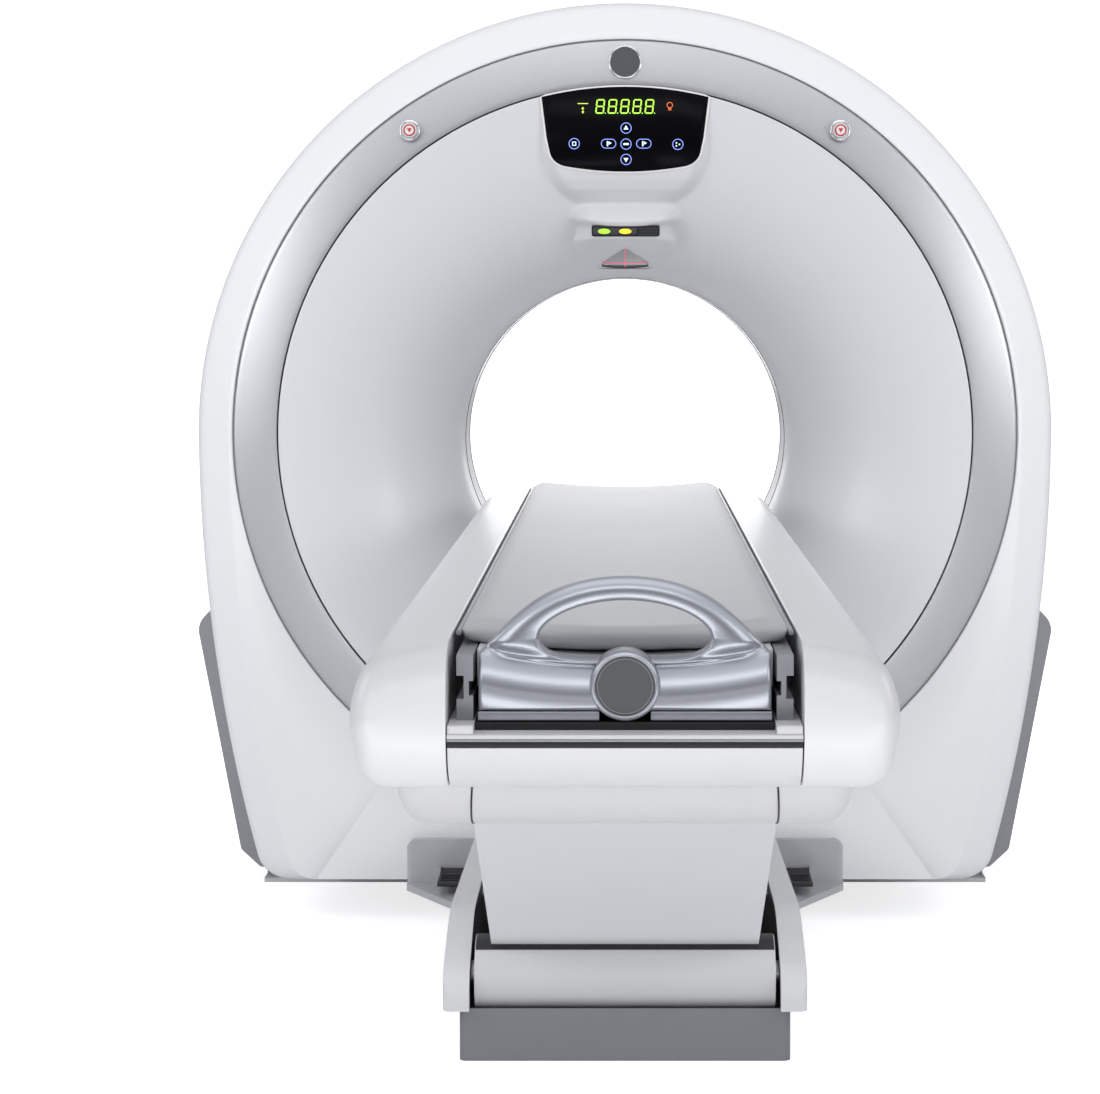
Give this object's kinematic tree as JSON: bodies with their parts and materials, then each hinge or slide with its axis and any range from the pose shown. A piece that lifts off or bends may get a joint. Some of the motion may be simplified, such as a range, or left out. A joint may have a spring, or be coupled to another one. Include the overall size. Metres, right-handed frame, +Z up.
{
  "type": "computed tomography scanner",
  "caption": "Hospital scanner: round tilting gantry with a flared bore and a spinning inner ring, and a patient table on a folding leg whose cradle slides into the bore.",
  "frame": {"origin": "floor point under the isocentre, on the underside of the gantry's floor plate", "axes": "+X to the right for somebody at the foot of the table, +Y from the table's foot into the bore, +Z up"},
  "size_m": [1.9192, 3.132, 1.927],
  "materials": {
    "white_cover": "satin moulded",
    "pale_cover": "satin moulded",
    "grey_cover": "satin moulded",
    "clear_window": "translucent film",
    "display_black": "gloss black",
    "dark_plastic": "matt",
    "button_red": "gloss",
    "chrome_trim": "polished",
    "frame_paint": "powder coat",
    "light_frame": "powder coat",
    "cast_frame": "painted",
    "bare_steel": "machined",
    "aluminium_part": "machined",
    "belt_rubber": "matt",
    "handle_silver": "metallic paint",
    "pad_skin": "smooth coated cloth",
    "carbon_shell": "lacquered",
    "plinth_grey": "powder coat"
  },
  "bodies": {
    "stand": {"columns": "frame_paint", "column_covers": "grey_cover", "tilt_gearbox": "cast_frame", "trunnion_cap": "cast_frame", "gantry_floor_plate": "frame_paint", "cable_duct": "grey_cover", "table_base_frame": "frame_paint", "table_plinth": "plinth_grey", "base_side_covers": "grey_cover", "hinge_shafts": "bare_steel", "pedal_housings": "grey_cover"},
    "gantry": {"front_cover": "white_cover", "front_ring": "pale_cover", "front_funnel": "pale_cover", "rear_funnel": "pale_cover", "scan_window": "clear_window", "middle_cover": "white_cover", "rear_cover": "white_cover", "console_housing": "white_cover", "display_panel": "display_black", "light_bar": "dark_plastic", "laser_window": "dark_plastic", "stop_bezels": "chrome_trim", "tilt_frame": "aluminium_part", "bearing_outer_ring": "bare_steel", "brush_block": "dark_plastic", "drive_motor": "frame_paint", "drive_belt": "belt_rubber"},
    "rotor": {"bearing_inner_ring": "bare_steel", "slip_ring": "dark_plastic", "rotor_drum": "aluminium_part", "tube_housing": "aluminium_part", "detector_arc": "aluminium_part", "rotor_cabinets": "light_frame", "heat_exchanger": "aluminium_part", "counterweight": "cast_frame"},
    "pulley": {"motor_pulley": "bare_steel"},
    "leg": {"lift_leg": "light_frame", "leg_drum": "light_frame"},
    "link": {"rear_link": "bare_steel"},
    "carriage": {"lift_brackets": "frame_paint", "head_shafts": "bare_steel", "table_beam": "aluminium_part", "top_plate": "light_frame", "end_panels": "light_frame", "lower_casing": "light_frame", "cradle_motor": "frame_paint", "table_side_cover_left": "white_cover", "table_side_cover_right": "white_cover", "cradle_rails": "grey_cover", "slide_strips": "dark_plastic"},
    "cradle": {"cradle_shell": "carbon_shell", "table_pad": "pad_skin", "push_handle": "handle_silver", "handle_badge": "chrome_trim"},
    "button_left": {"stop_button_left": "button_red"},
    "button_right": {"stop_button_right": "button_red"},
    "treadle_left": {"foot_pedal_left": "dark_plastic"},
    "treadle_right": {"foot_pedal_right": "dark_plastic"}
  },
  "joints": [
    {"name": "gantry_tilt", "type": "hinge", "parent": "stand", "child": "gantry", "pos_m": [0, 0, 1.015], "axis": [1, 0, 0], "range_deg": [-4, 30]},
    {"name": "rotor_spin", "type": "hinge", "parent": "gantry", "child": "rotor", "pos_m": [0, 0, 1.015], "axis": [0, 1, 0], "continuous": true},
    {"name": "pulley_spin", "type": "hinge", "parent": "gantry", "child": "pulley", "pos_m": [0.56, 0.12, 0.325], "axis": [0, 1, 0], "continuous": true},
    {"name": "table_lift", "type": "hinge", "parent": "stand", "child": "leg", "pos_m": [0, -1.205, 0.138], "axis": [-1, 0, 0], "range_deg": [-43, 5]},
    {"name": "carriage_level", "type": "hinge", "parent": "leg", "child": "carriage", "pos_m": [0, -1.692, 0.69], "axis": [-1, 0, 0], "range_deg": [-5, 43]},
    {"name": "rear_link_swing", "type": "hinge", "parent": "stand", "child": "link", "pos_m": [0, -0.875, 0.198], "axis": [-1, 0, 0], "range_deg": [-43, 5]},
    {"name": "cradle_slide", "type": "slide", "parent": "carriage", "child": "cradle", "axis": [0, 1, 0], "range_m": [0, 1.6]},
    {"name": "stop_left_press", "type": "slide", "parent": "gantry", "child": "button_left", "axis": [0, 1, 0], "range_m": [0, 0.004], "stiffness_N_per_m": 1500},
    {"name": "stop_right_press", "type": "slide", "parent": "gantry", "child": "button_right", "axis": [0, 1, 0], "range_m": [0, 0.004], "stiffness_N_per_m": 1500},
    {"name": "pedal_left_press", "type": "hinge", "parent": "stand", "child": "treadle_left", "pos_m": [-0.352, -0.505, 0.15], "axis": [1, 0, 0], "range_deg": [0, 8], "stiffness_Nm_per_rad": 8, "springref_deg": -4.58},
    {"name": "pedal_right_press", "type": "hinge", "parent": "stand", "child": "treadle_right", "pos_m": [0.352, -0.505, 0.15], "axis": [1, 0, 0], "range_deg": [0, 8], "stiffness_Nm_per_rad": 8, "springref_deg": -4.58}
  ],
  "couplings": [
    {"joint": "pulley_spin", "follows": "rotor_spin", "ratio": 12.3},
    {"joint": "carriage_level", "follows": "table_lift", "ratio": -1},
    {"joint": "rear_link_swing", "follows": "table_lift", "ratio": 1}
  ]
}
